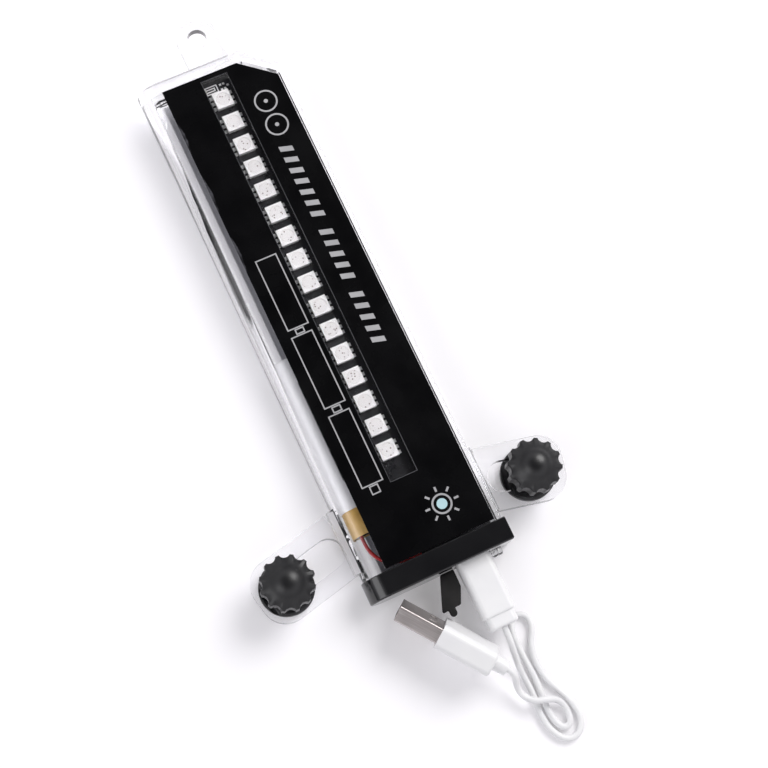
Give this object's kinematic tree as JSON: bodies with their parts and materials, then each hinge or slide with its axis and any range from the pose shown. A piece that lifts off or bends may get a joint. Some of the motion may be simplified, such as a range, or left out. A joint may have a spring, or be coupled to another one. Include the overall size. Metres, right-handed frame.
{
  "type": "spoke wheel light",
  "caption": "Clear rechargeable wheel light with a black printed label, a row of white lamps, two knobbed spoke clamps on slotted ears and a white charging lead plugged in.",
  "frame": {"origin": "centre of the back face of the lamp body, z 0 on that face", "axes": "+X to the square side of the body, +Y to the tie lug that points at the rim, +Z out of the front label"},
  "size_m": [0.0942, 0.2326, 0.019],
  "materials": {
    "clear_shell": "clear polished polycarbonate",
    "black_gloss": "glossy black moulding",
    "black_rubber": "soft black rubber",
    "label_film": "black film with thin grey line print",
    "black_frame": "black moulded plastic",
    "strip_board": "black solder resist",
    "lamp_white": "white lamp housing",
    "lamp_resin": "clouded lens resin",
    "solder": "bright solder",
    "cell_foil": "dull grey pouch foil",
    "yellow_tape": "amber insulating tape",
    "black_foam": "thin foam",
    "red_jacket": "red wire jacket",
    "black_jacket": "black wire jacket",
    "white_plastic": "white moulding",
    "white_jacket": "white flexible jacket",
    "white_insert": "white contact carrier",
    "steel": "plain zinc-plated steel",
    "plug_steel": "brushed plug shell",
    "black_satin": "satin black moulding",
    "brass": "turned brass",
    "gold": "gold-plated contacts"
  },
  "bodies": {
    "case": {"clear_case": "clear_shell", "left_ear": "clear_shell", "right_ear": "clear_shell", "end_cap": "black_gloss", "cap_gasket": "black_rubber", "front_label": "label_film", "rear_label": "label_film", "carrier": "black_frame", "front_strip": "strip_board", "rear_strip": "strip_board", "front_lamps": "lamp_white", "rear_lamps": "lamp_white", "front_lamp_resin": "lamp_resin", "rear_lamp_resin": "lamp_resin", "front_solder_pads": "solder", "rear_solder_pads": "solder", "battery_cell": "cell_foil", "battery_board": "strip_board", "battery_tape": "yellow_tape", "battery_pads": "black_foam", "red_wire": "red_jacket", "white_wire": "white_plastic", "strip_wires": "black_jacket", "control_board": "strip_board", "control_chip": "black_frame", "motion_sensor": "steel", "charge_socket": "steel", "socket_tongue": "black_frame", "switch_body": "steel"},
    "button": {"push_button": "clear_shell", "switch_plunger": "black_frame"},
    "cover": {"port_cover": "black_rubber"},
    "cable": {"charge_plug_body": "white_plastic", "charge_plug_shell": "steel", "charge_cord": "white_jacket", "supply_plug_body": "white_plastic", "supply_plug_shell": "plug_steel", "supply_plug_tongue": "white_insert", "supply_plug_contacts": "gold"},
    "left_carriage": {"left_washer": "steel"},
    "left_knob_body": {"left_knob": "black_satin", "left_knob_insert": "brass"},
    "left_foot_body": {"left_clamp_foot": "black_satin", "left_clamp_bolt": "steel"},
    "right_carriage": {"right_washer": "steel"},
    "right_knob_body": {"right_knob": "black_satin", "right_knob_insert": "brass"},
    "right_foot_body": {"right_clamp_foot": "black_satin", "right_clamp_bolt": "steel"}
  },
  "joints": [
    {"name": "left_clamp_slide", "type": "slide", "parent": "case", "child": "left_carriage", "axis": [0.977, 0.213, 0], "range_m": [0, 0.0098]},
    {"name": "left_knob_turn", "type": "hinge", "parent": "left_carriage", "child": "left_knob_body", "pos_m": [-0.0397, -0.06565, 0.0083], "axis": [0, 0, -1], "range_deg": [0, 856]},
    {"name": "left_foot_lift", "type": "slide", "parent": "left_carriage", "child": "left_foot_body", "axis": [0, 0, 1], "range_m": [0, 0.0019]},
    {"name": "right_clamp_slide", "type": "slide", "parent": "case", "child": "right_carriage", "axis": [-0.977, 0.213, 0], "range_m": [-0.0006, 0.0046]},
    {"name": "right_knob_turn", "type": "hinge", "parent": "right_carriage", "child": "right_knob_body", "pos_m": [0.03511, -0.06465, 0.0083], "axis": [0, 0, -1], "range_deg": [0, 856]},
    {"name": "right_foot_lift", "type": "slide", "parent": "right_carriage", "child": "right_foot_body", "axis": [0, 0, 1], "range_m": [0, 0.0019]},
    {"name": "button_press", "type": "slide", "parent": "case", "child": "button", "axis": [0, 1, 0], "range_m": [0, 0.0005], "stiffness_N_per_m": 1500},
    {"name": "cover_lift", "type": "hinge", "parent": "case", "child": "cover", "pos_m": [0.00145, -0.08115, 0.0065], "axis": [-1, 0, 0], "range_deg": [0, 70], "stiffness_Nm_per_rad": 0.0004},
    {"name": "cable_pull", "type": "slide", "parent": "case", "child": "cable", "axis": [0, -1, 0], "range_m": [0, 0.012]}
  ],
  "couplings": [
    {"joint": "left_knob_turn", "follows": "left_foot_lift", "rad_per_m": 7854},
    {"joint": "right_knob_turn", "follows": "right_foot_lift", "rad_per_m": 7854}
  ]
}
